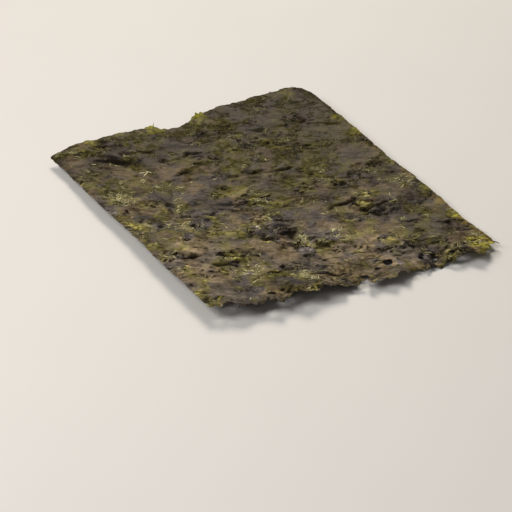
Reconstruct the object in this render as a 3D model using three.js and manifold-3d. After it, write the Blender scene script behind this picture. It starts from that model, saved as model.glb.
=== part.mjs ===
// A square of roasted nori lying on a table: one thin wavy sheet of pressed laver.
// Three of its edges are knife cut. The fourth, at the front, is the sheet's own ragged, lacy edge.
// Millimetres, +Z up. X runs along the ragged edge, Y from it to the back, and the table is at Z = 0.
import * as THREE from "three";
import { mergeVertices } from "three/addons/utils/BufferGeometryUtils.js";
import Module from "manifold-3d";

// Driving dimensions
const sheetWide = 95; // a quarter of a full sheet of 190 by 210
const sheetDeep = 105;
const sheetThick = 0.3;
const columns = 63; // grid cells along X
const rows = 27; // grid cells along Y
const frontGrading = 1.35; // above 1, rows crowd towards the ragged edge

// How far each corner lies from that of a true rectangle, and how high it curls off the table
const frontLeft = { x: 1.9, y: 1.2, lift: 4.5 };
const frontRight = { x: -2.4, y: -6, lift: 1.4 };
const backLeft = { x: -0.5, y: -0.1, lift: 2.4 };
const backRight = { x: 0, y: 1.2, lift: 4 };
const wornCorner = { pull: 2.4, sharpness: 16 }; // the back right corner is worn round

// Unevenness of each edge: waves of a length along the edge and a height across it
const edgeWaves = {
  front: [
    [9.7, 0.45],
    [5.9, 0.45],
    [4.1, 0.35],
  ],
  back: [
    [37, 0.2],
    [13, 0.2],
    [6.1, 0.15],
  ],
  left: [
    [43, 0.2],
    [11, 0.1],
  ],
  right: [
    [39, 0.25],
    [8, 0.12],
  ],
};
const edgeReach = 9; // how sharply an edge's unevenness dies out inside the sheet
const edgeFade = 0.05; // share of an edge over which its waves fade towards a corner

// The ragged edge bulges out between its corners, and has tongues and bays: place along X, half width,
// and how far each stands out
const frontBow = { out: 3.7, flatness: 4 };
const tongues = [
  { x: -38.4, half: 2.5, out: 1.2 },
  { x: -28.5, half: 2.4, out: 1.2 },
  { x: -18.5, half: 2.4, out: 1.7 },
  { x: 7.5, half: 5, out: 2.6 },
  { x: 20.5, half: 4.5, out: -1.2 },
  { x: 39.5, half: 4, out: 3.2 },
];

// Ripples of the pressed sheet: wave length, direction of travel in degrees, and height
const ripples = [
  { length: 61, heading: 25, height: 0.55 },
  { length: 43, heading: 100, height: 0.5 },
  { length: 27, heading: 66, height: 0.3 },
  { length: 19, heading: 118, height: 0.22 },
  { length: 13, heading: 84, height: 0.14 },
];
const rippleFade = { side: 0.8, back: 0.7, flatness: 6 }; // share of the ripples lost at a cut edge
const bellySag = 3.2; // how far the middle sinks below the plane of the corners

// Waves of the ragged edge: length, height, and a place along X where they crest
const ruffles = [
  { length: 27, height: 1, crest: 10 },
  { length: 10.4, height: 0.4, crest: 11.8 },
  { length: 7.3, height: 0.2, crest: 0.5 },
];
const ruffleFade = { flatness: 8, reach: 11 }; // they fade towards the corners and inside the sheet

const backCurl = { rise: 1.9, flatness: 10, reach: 16 }; // the back edge turns up between its corners
const backDip = { x: -2.5, half: 11, depth: 2.3 }; // and sinks where it is torn
const contactSoftness = 0.6; // how far above the table the sheet begins to bend flat on to it

// Gaps in the lacy band, and a tear in the back edge: place, size and turn in degrees
const gaps = [
  { x: 11.2, y: -53, wide: 2.9, deep: 3.6, turn: -12 },
  { x: 7.4, y: -53.8, wide: 2, deep: 2.2, turn: 20 },
  { x: 1.2, y: -56, wide: 3.4, deep: 3.2, turn: 10 },
  { x: 21.7, y: -54.4, wide: 1.9, deep: 2.2, turn: 0 },
  { x: 25.4, y: -56, wide: 2.6, deep: 1.7, turn: -10 },
  { x: 30.4, y: -58, wide: 3.2, deep: 1.6, turn: -8 },
  { x: -41, y: -48.8, wide: 3, deep: 1.9, turn: -15 },
  { x: -26.8, y: -53, wide: 2.4, deep: 1.8, turn: 0 },
];
const tear = { x: -3.5, y: 54.2, wide: 15.5, deep: 7.4, turn: 3 };
const gapSides = 12;
const gapCutter = { low: -5, high: 15 };

const goldenShare = (Math.sqrt(5) - 1) / 2;
const noriGreen = new THREE.MeshStandardMaterial({
  name: "roasted laver",
  color: new THREE.Color().setRGB(0.235, 0.21, 0.13, THREE.SRGBColorSpace),
  roughness: 0.55,
  metalness: 0,
});

// The sum of an edge's waves at a distance along it, each a golden share of a turn after the last.
function unevenness(waves, along, turnShare) {
  const share = along.share;
  const fade = Math.min(1, share / edgeFade, (1 - share) / edgeFade);
  const sum = waves.reduce((total, [length, height], order) => {
    const phase = goldenShare * (order + 1) + turnShare;
    return total + height * Math.sin(2 * Math.PI * (along.distance / length + phase));
  }, 0);
  return fade * sum;
}

// 0 at both ends of an edge and 1 along its middle: the higher the flatness, the longer the middle.
function plateau(share, flatness) {
  return 1 - Math.abs(2 * share - 1) ** flatness;
}

// A smooth bump, 1 at its place along X.
function bump(x, place, half) {
  return Math.exp(-(((x - place) / half) ** 2));
}

// A bilinear mix of one value at each of the four corners.
function acrossCorners(pick, s, t) {
  const front = (1 - s) * pick(frontLeft) + s * pick(frontRight);
  const back = (1 - s) * pick(backLeft) + s * pick(backRight);
  return (1 - t) * front + t * back;
}

// The flat place of a grid point: s runs from the left edge to the right one, and t from the ragged
// edge to the back.
function flatPlace(s, t) {
  const alongX = { share: s, distance: s * sheetWide };
  const alongY = { share: t, distance: t * sheetDeep };
  const squareX = (s - 0.5) * sheetWide;
  const squareY = (t - 0.5) * sheetDeep;
  const bow = frontBow.out * plateau(s, frontBow.flatness);
  const tongue = tongues.reduce((total, { x, half, out }) => total + out * bump(squareX, x, half), 0);
  const front = (unevenness(edgeWaves.front, alongX, 0) - bow - tongue) * (1 - t) ** edgeReach;
  const back = unevenness(edgeWaves.back, alongX, 0.25) * t ** edgeReach;
  const left = unevenness(edgeWaves.left, alongY, 0.5) * (1 - s) ** edgeReach;
  const right = unevenness(edgeWaves.right, alongY, 0.75) * s ** edgeReach;
  const worn = wornCorner.pull * (s * t) ** wornCorner.sharpness;
  return {
    x: squareX + acrossCorners((corner) => corner.x, s, t) + left + right - worn,
    y: squareY + acrossCorners((corner) => corner.y, s, t) + front + back - worn,
  };
}

// A height as it is once the sheet lies on the table: nothing below zero, and a short curve from the flat
// to what stands free.
function laidOnTable(height) {
  if (height <= -contactSoftness) return 0;
  if (height >= contactSoftness) return height;
  return (height + contactSoftness) ** 2 / (4 * contactSoftness);
}

// Height of the sheet's under face: curled corners, a sagging middle, ripples, the ruffled ragged edge
// and the turned-up back edge.
function underHeight(s, t) {
  const x = (s - 0.5) * sheetWide;
  const y = (t - 0.5) * sheetDeep;
  const curl = acrossCorners((corner) => corner.lift, s, t);
  const belly = bellySag * 16 * s * (1 - s) * t * (1 - t);
  const rippled = ripples.reduce((total, { length, heading, height }, order) => {
    const angle = THREE.MathUtils.degToRad(heading);
    const travelled = x * Math.cos(angle) + y * Math.sin(angle);
    return total + height * Math.sin(2 * Math.PI * (travelled / length + goldenShare * order));
  }, 0);
  const nearSide = Math.abs(2 * s - 1) ** rippleFade.flatness;
  const kept = (1 - rippleFade.side * nearSide) * (1 - rippleFade.back * t ** rippleFade.flatness);
  const nearFront = Math.exp((-t * sheetDeep) / ruffleFade.reach) * plateau(s, ruffleFade.flatness);
  const ruffled = ruffles.reduce((total, { length, height, crest }) => {
    return total + height * nearFront * Math.cos((2 * Math.PI * (x - crest)) / length);
  }, 0);
  const nearBack = Math.exp((-(1 - t) * sheetDeep) / backCurl.reach);
  const raised = backCurl.rise * plateau(s, backCurl.flatness);
  const sunk = backDip.depth * bump(x, backDip.x, backDip.half);
  return laidOnTable(curl - belly + kept * rippled + ruffled + (raised - sunk) * nearBack);
}

// Numbers of the grid points round the edge, from the front left corner by way of the front right one.
function rimOrder(across) {
  const front = Array.from({ length: columns }, (_, step) => step);
  const right = Array.from({ length: rows }, (_, step) => step * across + columns);
  const back = Array.from({ length: columns }, (_, step) => rows * across + columns - step);
  const left = Array.from({ length: rows }, (_, step) => (rows - step) * across);
  return [...front, ...right, ...back, ...left];
}

// The whole sheet before its gaps are cut: an under face and an upper face, split into triangles
// alike, and a rim.
function sheetGeometry() {
  const across = columns + 1;
  const perFace = across * (rows + 1);
  const positions = [];
  for (const raise of [0, sheetThick]) {
    for (let row = 0; row <= rows; row++) {
      for (let column = 0; column <= columns; column++) {
        const s = column / columns;
        const t = (row / rows) ** frontGrading;
        const { x, y } = flatPlace(s, t);
        positions.push(x, y, underHeight(s, t) + raise);
      }
    }
  }
  const index = [];
  for (let row = 0; row < rows; row++) {
    for (let column = 0; column < columns; column++) {
      const a = row * across + column;
      const b = a + 1;
      const c = a + across + 1;
      const d = a + across;
      index.push(a, c, b, a, d, c);
      index.push(...[a, b, c, a, c, d].map((vertex) => vertex + perFace));
    }
  }
  const rim = rimOrder(across);
  rim.forEach((here, order) => {
    const next = rim[(order + 1) % rim.length];
    index.push(here, next, next + perFace, here, next + perFace, here + perFace);
  });
  const geometry = new THREE.BufferGeometry();
  geometry.setAttribute("position", new THREE.Float32BufferAttribute(positions, 3));
  geometry.setIndex(index);
  return geometry;
}

// An upright oval prism that cuts one gap or the tear.
function gapGeometry({ x, y, wide, deep, turn }) {
  const oval = new THREE.Shape();
  oval.absellipse(0, 0, wide / 2, deep / 2, 0, 2 * Math.PI, false, THREE.MathUtils.degToRad(turn));
  const depth = gapCutter.high - gapCutter.low;
  const curveSegments = gapSides / 2;
  const prism = new THREE.ExtrudeGeometry(oval, { depth, curveSegments, bevelEnabled: false });
  return prism.translate(x, y, gapCutter.low);
}

const wasm = await Module();
wasm.setup();

// A closed geometry as a solid that can be cut.
function solidOf(geometry) {
  const bare = new THREE.BufferGeometry();
  bare.setAttribute("position", geometry.getAttribute("position"));
  bare.setIndex(geometry.getIndex());
  const merged = mergeVertices(bare);
  const mesh = new wasm.Mesh({
    numProp: 3,
    vertProperties: new Float32Array(merged.getAttribute("position").array),
    triVerts: new Uint32Array(merged.getIndex().array),
  });
  return new wasm.Manifold(mesh);
}

// A cut solid as a geometry that can be drawn.
function geometryOf(solid) {
  const { vertProperties, triVerts } = solid.getMesh();
  const geometry = new THREE.BufferGeometry();
  geometry.setAttribute("position", new THREE.BufferAttribute(vertProperties, 3));
  geometry.setIndex(new THREE.BufferAttribute(triVerts, 1));
  return geometry;
}

// Moves the geometry so that the origin is under the middle of its box, on the table.
function centredOnTable(geometry) {
  geometry.computeBoundingBox();
  const { min, max } = geometry.boundingBox;
  return geometry.translate(-(min.x + max.x) / 2, -(min.y + max.y) / 2, -min.z);
}

const wholeSheet = solidOf(sheetGeometry());
const cutSheet = [...gaps, tear].reduce((solid, gap) => solid.subtract(solidOf(gapGeometry(gap))), wholeSheet);
const noriSheet = new THREE.Mesh(centredOnTable(geometryOf(cutSheet)), noriGreen);
noriSheet.name = "nori_sheet";
noriSheet.geometry.computeVertexNormals();

const nori = new THREE.Group();
nori.add(noriSheet);

export default nori;
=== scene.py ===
import math

import bpy
import numpy as np
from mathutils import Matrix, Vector


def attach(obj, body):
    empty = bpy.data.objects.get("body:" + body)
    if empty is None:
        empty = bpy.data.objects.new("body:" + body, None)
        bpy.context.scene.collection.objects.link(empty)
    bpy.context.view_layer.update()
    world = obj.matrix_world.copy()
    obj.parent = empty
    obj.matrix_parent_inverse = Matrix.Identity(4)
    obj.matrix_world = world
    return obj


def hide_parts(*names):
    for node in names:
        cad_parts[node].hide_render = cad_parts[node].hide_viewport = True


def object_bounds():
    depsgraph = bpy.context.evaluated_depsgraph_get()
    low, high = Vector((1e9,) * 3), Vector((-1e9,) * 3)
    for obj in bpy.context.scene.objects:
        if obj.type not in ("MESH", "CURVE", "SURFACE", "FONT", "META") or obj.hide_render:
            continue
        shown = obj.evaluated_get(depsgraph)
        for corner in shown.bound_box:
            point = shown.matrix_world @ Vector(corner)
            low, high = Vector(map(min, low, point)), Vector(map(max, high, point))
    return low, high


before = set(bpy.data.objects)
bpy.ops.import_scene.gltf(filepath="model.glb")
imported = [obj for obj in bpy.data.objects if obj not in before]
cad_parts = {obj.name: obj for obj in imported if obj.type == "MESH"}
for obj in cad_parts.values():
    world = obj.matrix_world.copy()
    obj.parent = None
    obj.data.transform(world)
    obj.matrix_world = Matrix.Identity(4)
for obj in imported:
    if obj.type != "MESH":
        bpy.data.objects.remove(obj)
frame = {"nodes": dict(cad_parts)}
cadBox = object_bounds()
print("frame loaded:", ", ".join(frame["nodes"]))

mm = 0.001
goldenShare = (math.sqrt(5) - 1) / 2
lumpWidth = 4.4  # a lump of noise is this many standard deviations of its blur across

# The sheet's form, in millimetres from the middle of the cut square
sheetForm = {
    "wide": 95.0,
    "deep": 105.0,
    "thick": 0.3,
    "frontLeft": (-45.6, -51.3, 4.5),  # place of a corner, and how high it curls
    "frontRight": (45.1, -58.5, 1.4),
    "backLeft": (-48.0, 52.4, 2.4),
    "backRight": (47.5, 53.7, 4.0),
    "wornRadius": 7.5,  # the back right corner is worn round
    "nippedRadius": 1.2,  # the other corners
    "bow": (3.7, 4),  # how far the ragged edge bulges out, and how flat-topped it is
    # tongues and bays of the ragged edge: place, half width, reach
    "tongues": (
        (-38.4, 2.5, 1.2),
        (-28.5, 2.4, 1.2),
        (-18.5, 2.4, 1.7),
        (7.5, 5.0, 2.6),
        (20.5, 4.5, -1.2),
        (39.5, 4.0, 3.2),
    ),
    # waves of an edge: the side that it follows, their start as a share of a turn, length and height of each
    "waves": {
        "front": ("wide", 0, ((9.7, 0.45), (5.9, 0.45), (4.1, 0.35))),
        "back": ("wide", 0.25, ((37, 0.2), (13, 0.2), (6.1, 0.15))),
        "left": ("deep", 0.5, ((43, 0.2), (11, 0.1))),
        "right": ("deep", 0.75, ((39, 0.25), (8, 0.12))),
    },
    "edgeFade": 0.05,  # share of an edge over which its waves fade out
    "edgeReach": 9,  # how fast the ragged edge's stretch dies away inwards
    "shareRounds": 6,  # repetitions that find it
    "ripples": ((61, 25, 0.55), (43, 100, 0.5), (27, 66, 0.3), (19, 118, 0.22), (13, 84, 0.14)),
    "rippleFade": (0.8, 0.7, 6),  # share of the ripples lost at the sides and the back, and sharpness
    "bellySag": 3.2,  # how far the middle hangs below the corners' plane
    "ruffles": ((27, 1.0, 10.0), (10.4, 0.4, 11.8), (7.3, 0.2, 0.5)),  # length, height, place of a crest
    "ruffleFade": (8, 11),  # flatness along the edge, and reach inwards
    "backCurl": (1.9, 10, 16),  # rise, flatness along the edge, and reach inwards
    "backDip": (-2.5, 11, 2.3),  # place, half width, depth
    "contact": 0.6,  # height below which the sheet nestles on to the table
    # place, size and turn of the gaps, and last the tear in the back edge
    "gaps": (
        (11.2, -53.0, 2.9, 3.6, -12),
        (7.4, -53.8, 2.0, 2.2, 20),
        (1.2, -56.0, 3.4, 3.2, 10),
        (21.7, -54.4, 1.9, 2.2, 0),
        (25.4, -56.0, 2.6, 1.7, -10),
        (30.4, -58.0, 3.2, 1.6, -8),
        (-41.0, -48.8, 3.0, 1.9, -15),
        (-26.8, -53.0, 2.4, 1.8, 0),
        (-3.5, 54.2, 15.5, 7.4, 3),
    ),
    "cell": 0.47,  # grid spacing
    "margin": 2.0,  # how far the grid runs past the sheet
    "edgeSamples": 400,  # points along an edge that find its ends
}


def smoothStep(low, high, value):
    # 0 below low, 1 above high, and a smooth S between them
    share = np.clip((value - low) / (high - low), 0, 1)
    return share * share * (3 - 2 * share)


def plateau(share, flatness):
    # 0 at both ends of an edge and 1 along its middle
    return 1 - np.abs(2 * share - 1) ** flatness


def bump(x, place, half):
    # a Gaussian, 1 at its place
    return np.exp(-(((x - place) / half) ** 2))


def turnedAxes(x, y, degrees):
    # places along and across a heading
    turn = math.radians(degrees)
    return x * math.cos(turn) + y * math.sin(turn), y * math.cos(turn) - x * math.sin(turn)


def edgeWave(share, edge):
    # a sum of sines along an edge, each a golden share of a turn after the last, faded out at both corners
    side, start, waves = sheetForm["waves"][edge]
    fade = np.clip(np.minimum(share, 1 - share) / sheetForm["edgeFade"], 0, 1)
    total = np.zeros_like(share)
    for order, (wave, height) in enumerate(waves, 1):
        turns = share * sheetForm[side] / wave + goldenShare * order + start
        total += height * np.sin(2 * math.pi * turns)
    return fade * total


def straightLine(along, start, end):
    # the line from start to end, as (share of the way, place across) at a distance along
    share = (along - start[0]) / (end[0] - start[0])
    return share, start[1] + share * (end[1] - start[1])


def frontOut(share):
    # how far the ragged edge stands out of its straight line: a flat-topped bow and tongues, less waves
    out, flatness = sheetForm["bow"]
    squareX = (share - 0.5) * sheetForm["wide"]
    total = out * plateau(share, flatness) - edgeWave(share, "front")
    for place, half, reach in sheetForm["tongues"]:
        total += reach * bump(squareX, place, half)
    return total


def frontEdge(x):
    # straight line less how far the ragged edge stands out
    share, across = straightLine(x, sheetForm["frontLeft"], sheetForm["frontRight"])
    return across - frontOut(share)


def backEdge(x):
    # straight line plus the back edge's waves
    share, across = straightLine(x, sheetForm["backLeft"], sheetForm["backRight"])
    return across + edgeWave(share, "back")


def sideLine(y, side):
    # straight left or right side, as (share of the way back, x)
    front = sheetForm["front" + side]
    back = sheetForm["back" + side]
    return straightLine(y, (front[1], front[0]), (back[1], back[0]))


def sideEdge(y, side):
    # straight side plus the waves of the left or right edge
    share, across = sideLine(y, side)
    return across + edgeWave(share, side.lower())


def laidOnTable(height):
    # nothing below zero, and a parabola between the flat and what stands free
    soft = sheetForm["contact"]
    curve = np.clip(height + soft, 0, 2 * soft) ** 2 / (4 * soft)
    return np.where(height > soft, height, curve)


def squareShares(x, y):
    # shares of the way across and back, the second found by repetition as the ragged edge stands out
    leftX = sideLine(y, "Left")[1]
    rightX = sideLine(y, "Right")[1]
    across = np.clip((x - leftX) / (rightX - leftX), 0, 1)
    frontY = straightLine(x, sheetForm["frontLeft"], sheetForm["frontRight"])[1]
    backY = straightLine(x, sheetForm["backLeft"], sheetForm["backRight"])[1]
    out = frontOut(across)
    back = np.zeros_like(x)
    for attempt in range(sheetForm["shareRounds"]):
        stretched = y - frontY + out * (1 - back) ** sheetForm["edgeReach"]
        back = np.clip(stretched / (backY - frontY), 0, 1)
    return across, back


def formHeight(x, y):
    # curled corners mixed bilinearly, less a sagging belly that is 1 in the middle, plus ripples, the ragged
    # edge's ruffles and the back edge's curl
    s, t = squareShares(x, y)
    front = (1 - s) * sheetForm["frontLeft"][2] + s * sheetForm["frontRight"][2]
    back = (1 - s) * sheetForm["backLeft"][2] + s * sheetForm["backRight"][2]
    height = (1 - t) * front + t * back - sheetForm["bellySag"] * 16 * s * (1 - s) * t * (1 - t)
    squareX = (s - 0.5) * sheetForm["wide"]
    squareY = (t - 0.5) * sheetForm["deep"]
    side, rear, sharpness = sheetForm["rippleFade"]
    kept = (1 - side * np.abs(2 * s - 1) ** sharpness) * (1 - rear * t**sharpness)
    for order, (wave, heading, rise) in enumerate(sheetForm["ripples"]):
        travelled = turnedAxes(squareX, squareY, heading)[0]
        height += kept * rise * np.sin(2 * math.pi * (travelled / wave + goldenShare * order))
    flatness, reach = sheetForm["ruffleFade"]
    nearFront = np.exp(-t * sheetForm["deep"] / reach) * plateau(s, flatness)
    for wave, rise, crest in sheetForm["ruffles"]:
        height += rise * nearFront * np.cos(2 * math.pi * (squareX - crest) / wave)
    rise, flatness, reach = sheetForm["backCurl"]
    place, half, depth = sheetForm["backDip"]
    nearBack = np.exp(-(1 - t) * sheetForm["deep"] / reach)
    height += nearBack * (rise * plateau(s, flatness) - depth * bump(squareX, place, half))
    return laidOnTable(height)


alongFront = np.linspace(sheetForm["frontLeft"][0], sheetForm["frontRight"][0], sheetForm["edgeSamples"])
alongSide = np.linspace(sheetForm["frontLeft"][1], sheetForm["backLeft"][1], sheetForm["edgeSamples"])


def frameShift():
    # from the middle of the cut square to the frame's origin: the CAD box's centre less the outline's
    low = np.array((sideEdge(alongSide, "Left").min(), frontEdge(alongFront).min()))
    high = np.array((sideEdge(alongSide, "Right").max(), backEdge(alongFront).max()))
    cadMiddle = np.array(((cadBox[0] + cadBox[1]) / 2)[:2]) / mm
    return cadMiddle - (low + high) / 2


def makeGrid():
    # plain square grid over the sheet's outline and a margin, as arrays of x and y
    margin, step = sheetForm["margin"], sheetForm["cell"]
    columns = np.arange(sheetForm["backLeft"][0] - margin, sheetForm["backRight"][0] + margin, step)
    rows = np.arange(frontEdge(alongFront).min() - margin, sheetForm["backRight"][1] + margin, step)
    return np.meshgrid(columns, rows)


cell = sheetForm["cell"]
gridX, gridY = makeGrid()
shift = frameShift()
print("grid of", gridX.shape, "points, moved", np.round(shift, 3), "mm into the frame")


def blurred(field, along, across=None, heading=0):
    # a field smoothed by an oval Gaussian of along by across millimetres, turned by heading degrees
    waveY = np.fft.fftfreq(field.shape[0], cell)[:, None]
    waveX = np.fft.rfftfreq(field.shape[1], cell)[None, :]
    ahead, aside = turnedAxes(waveX, waveY, heading)
    oval = (ahead * along) ** 2 + (aside * (across or along)) ** 2
    fall = np.exp(-2 * (math.pi / lumpWidth) ** 2 * oval)
    return np.fft.irfft2(np.fft.rfft2(field) * fall, field.shape)


def noiseField(seed, along, across, heading):
    # blurred white noise in lumps of along by across millimetres, with mean 0 and spread 1
    speckle = np.random.default_rng(seed).standard_normal(gridX.shape)
    field = blurred(speckle, along, across, heading)
    return (field - field.mean()) / field.std()


# Raggedness and holes finer than the solid's, in millimetres. A noise is its seed, its size along and across,
# and its heading in degrees.
lace = {
    "lobes": (11, 1.9, 1.7, 0),
    "frontRag": 0.45,  # how far small lobes stand out of the ragged edge
    "cutRag": 0.06,  # roughness of the cut edges
    "backRag": 0.16,
    "gapLobes": (12, 1.6, 1.6, 0),
    "gapRag": 0.14,
    "holes": (13, 2.4, 1.9, -20),
    "holeSlope": 0.6,  # depth inside the sheet for each level of the noise
    "band": 9.0,  # how far the lacy band reaches from the ragged edge
    "edgeLevel": -1.3,  # holes where the noise is below this at the edge
    "innerLevel": -3.6,  # and below this further in
    "corner": 13.0,  # reach of the lace round the front right corner
}


def roundedCorner(first, second, radius):
    # the smaller of two edge distances, with their corner rounded to radius
    corner = radius - np.hypot(np.clip(radius - first, 0, None), np.clip(radius - second, 0, None))
    return np.where((first < radius) & (second < radius), corner, np.minimum(first, second))


def edgeDistances():
    # distance inside each of the four edges, less small rough lobes
    small = noiseField(*lace["lobes"])
    return {
        "front": gridY - frontEdge(gridX) + lace["frontRag"] * small,
        "back": backEdge(gridX) - gridY + lace["backRag"] * small,
        "left": gridX - sideEdge(gridY, "Left") + lace["cutRag"] * small,
        "right": sideEdge(gridY, "Right") - gridX + lace["cutRag"] * small,
    }


def outlineDistance():
    # distance inside the nearest edge, with rounded corners
    nipped, worn = sheetForm["nippedRadius"], sheetForm["wornRadius"]
    nearest = roundedCorner(edges["back"], edges["right"], worn)
    for end, side in (("front", "left"), ("front", "right"), ("back", "left")):
        nearest = np.minimum(nearest, roundedCorner(edges[end], edges[side], nipped))
    return nearest


def gapDistance():
    # distance outside the nearest of the large oval gaps
    wobble = lace["gapRag"] * noiseField(*lace["gapLobes"])
    nearest = np.full(gridX.shape, np.inf)
    for x, y, wide, deep, turnDegrees in sheetForm["gaps"]:
        ahead, aside = turnedAxes(gridX - x, gridY - y, turnDegrees)
        size = np.hypot(ahead / (wide / 2), aside / (deep / 2))
        nearest = np.minimum(nearest, (size - 1) * min(wide, deep) / 2 + wobble)
    return nearest


def laceDistance():
    # noise above a level that rises towards the ragged edge and the front right corner
    noise = noiseField(*lace["holes"])
    near = np.maximum(1 - edges["front"] / lace["band"], 1 - cornerDistance / lace["corner"])
    level = lace["innerLevel"] + smoothStep(0, 1, near) * (lace["edgeLevel"] - lace["innerLevel"])
    return lace["holeSlope"] * (noise - level)


edges = edgeDistances()
cutDistance = np.minimum(np.minimum(edges["left"], edges["right"]), edges["back"])
cornerDistance = np.hypot(gridX - sheetForm["frontRight"][0], gridY - sheetForm["frontRight"][1])
openings = np.minimum(gapDistance(), laceDistance())
inside = np.minimum(outlineDistance(), openings)
print("outline worked out")

# Crinkles of the pressed laver, in millimetres. A noise is its seed, its size along and across, and its turn
# from the grain in degrees. Shares are the strengths on the plainest and the fullest parts.
relief = {
    "grain": -20,  # heading of the grain in degrees
    "swell": (0.13, 51, 9.0, 7.0, 0),  # height, then the noise
    "dimple": (0.17, 52, 4.6, 2.1, -6),
    "dimpleShares": (0.12, 1),
    "wrinkle": (0.15, 53, 6.2, 1.6, -8),
    "wrinkleShares": (0.4, 1),
    # flat blades: the noise, and the level above which there is blade
    "blades": ((21, 10.5, 8.5, -8, 0.35), (22, 7.2, 5.6, 20, 0.6), (23, 4.6, 3.8, -35, 0.8)),
    "bladeCover": (1, 1, 0.8),  # how far each layer hides the ground
    "bladeFray": (0.35, 100, 2.2, 1.5),  # noise that frays a blade: strength, step of the seed, size
    "bladeStep": 0.12,  # levels on both sides of a blade's edge
    "bladeThick": 0.12,
    "bladeMean": 0.8,
    "shadeWay": (-0.4, 0.9),  # the way up from a blade's shaded side
    "fibres": ((42, 2.6, 0.95, -22), (43, 2.6, 0.95, 12)),  # the noises of two headings
    "fibreSwitch": (41, 6, 6, 20),  # and the noise that chooses between them
    "fibreThick": 0.125,
    "fibreShares": (0.08, 1.08),
    "creases": ((31, 0), (33, 25)),  # seed and turn
    "creaseSize": (9.0, 2.6),
    "creaseBreak": (6, 3.5),  # size of the noise that keeps them short
    "creaseLevels": (0.1, 1.5),
    "creaseWidth": 0.15,
    "creaseDepth": 0.3,
    "hollowDepth": 0.22,
    "hollowShares": (0.1, 1),
    "pitDepth": 0.3,
    "pitShares": (0.2, 1),
    "crispShares": (0.45, 0.95),
    "busyShares": (0.45, 1.45),
    "cutShares": (0.25, 1),
    "cutReach": 7.0,  # how far the flatter band along the cut edges reaches
    "floorGap": (0.3, 1.2, 0.2),  # rise over the table, and the heights between which it comes in
    "leastThick": 0.14,
    "rimShares": (0.55, 1),
    "rimReach": 1.2,
    "foldDepth": 0.5,
    "foldWaver": (0.5, 35, 4, 4),
    "foldEnds": (0.12, 0.3),  # shares of a fold past its ends and within them, over which it fades
    # the largest folds: both ends and the half width
    "folds": (
        (-38.6, 44.6, -25.2, 34.6, 1.5), (-12.2, -46.8, 0.5, -51.0, 0.7), (11.7, -17.6, 23.6, -17.0, 0.85),
        (-33.5, -30.3, -26.6, -35.0, 0.7), (-41.0, -23.7, -33.0, -25.4, 0.45), (2.3, 15.7, 9.2, 13.7, 0.6),
        (-22.7, -41.2, -16.9, -43.6, 0.6), (-8.3, -22.9, -1.9, -23.6, 0.65), (-19.0, 24.2, -11.8, 23.2, 0.75),
        (-22.5, 39.9, -16.4, 38.0, 0.5), (10.4, 12.0, 17.9, 11.0, 0.6), (35.1, -39.9, 40.8, -44.1, 0.55),
        (-9.7, 33.5, -3.2, 32.2, 0.5), (29.6, -34.2, 33.9, -38.0, 0.5), (23.1, -25.7, 27.9, -28.8, 0.5),
        (-4.1, 16.3, 1.2, 15.6, 0.5),
    ),
}

# Patches where a noise is high: the noise, and the levels at which a patch begins and is full
patches = {
    "pit": (36, 2.4, 1.15, -6, 2.4, 3.1),
    "hollow": (37, 3.6, 1.3, -6, 0.6, 1.7),
    "bladeShade": (27, 4.5, 3, 0, -0.1, 0.9),
    # the edges' painted glow of light through the thin laver comes in where these are high
    "amberEdge": (44, 5, 5, 20, 0.2, 1.1),
    "greenEdge": (46, 6, 4, 20, 0.3, 1.3),
    "brown": (24, 9, 11, 0, -1.2, 0.8),
    "fuzz": (62, 5.5, 4.5, 0, 0.8, 2.1),
    "tuft": (63, 2.8, 2, 20, 0.5, 1.8),
    "busy": (64, 18, 13, 0, -0.8, 1.4),
    "slate": (65, 6, 6.5, 0, 0.3, 1.6),
}

# Marks of colour, in millimetres: place and radius
marks = {
    # yellow-green and amber marks: painted glow of light through the thin back and right edges
    "green": (
        (-34.6, 52.6, 2.4), (-23.5, 52.9, 2.2), (-11.5, 51.2, 3.6), (3.8, 51.6, 2.8), (37.9, 51.1, 3.2),
        (46.0, 29.5, 2.4), (46.3, 19.5, 2.8), (45.5, -3.1, 2.2), (45.6, -22.1, 2.6), (44.9, -39.0, 3.0),
        (39.8, -58.4, 4.4),
    ),
    "amber": (
        (45.8, 8.0, 3.0), (45.6, -13.0, 3.6), (45.2, -30.0, 3.6), (44.4, -45.5, 3.6), (43.8, -54.5, 4.0),
    ),
    "slate": (
        (-28.5, 44.8, 5.5), (-4.6, 35.7, 5.0), (-10.3, -19.4, 5.0), (-35.8, -2.4, 4.5), (36.3, 39.9, 6.0),
        (31.8, -4.3, 6.0), (-7.0, -44.1, 4.0), (27.8, -26.7, 5.5),
    ),
    "fuzz": (
        (-24.4, -38.6, 5.0), (-0.5, 0.4, 3.2), (-27.2, -5.9, 3.6), (-21.7, 17.7, 3.6), (8.9, -30.5, 4.0),
        (-1.6, -26.2, 3.4), (14.0, -18.2, 4.0), (7.2, 36.7, 3.6), (-40.4, 16.2, 4.5), (41.5, -14.0, 4.5),
        (-12.9, -46.9, 4.0),
    ),
    "calm": (
        (5.2, -14.6, 6.5), (-31.9, 21.3, 5.5), (35.5, -8.9, 5.5), (-15.9, -9.2, 6.0), (-37.2, -43.3, 6.5),
        (-36.0, 5.8, 5.0), (25.2, -39.9, 5.5), (14.0, -41.5, 4.5), (-1.0, -39.7, 4.5), (-33.5, -20.5, 6.0),
    ),
    "uneven": (0.25, 47, 2.4, 1.8),  # strength and noise of a mark's border
    "border": (1.2, 0.5),  # shares of the radius at which a mark begins and is full
    # lighter and darker zones, partly painted sheen and shade: place, half width, powers of two
    "zones": (
        (-29, 21, 15, 0.4), (-24, -18, 13, 0.55), (8, 5, 15, -0.45), (17, -45, 13, 0.55), (29, -51, 10, -0.5),
    ),
}

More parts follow.
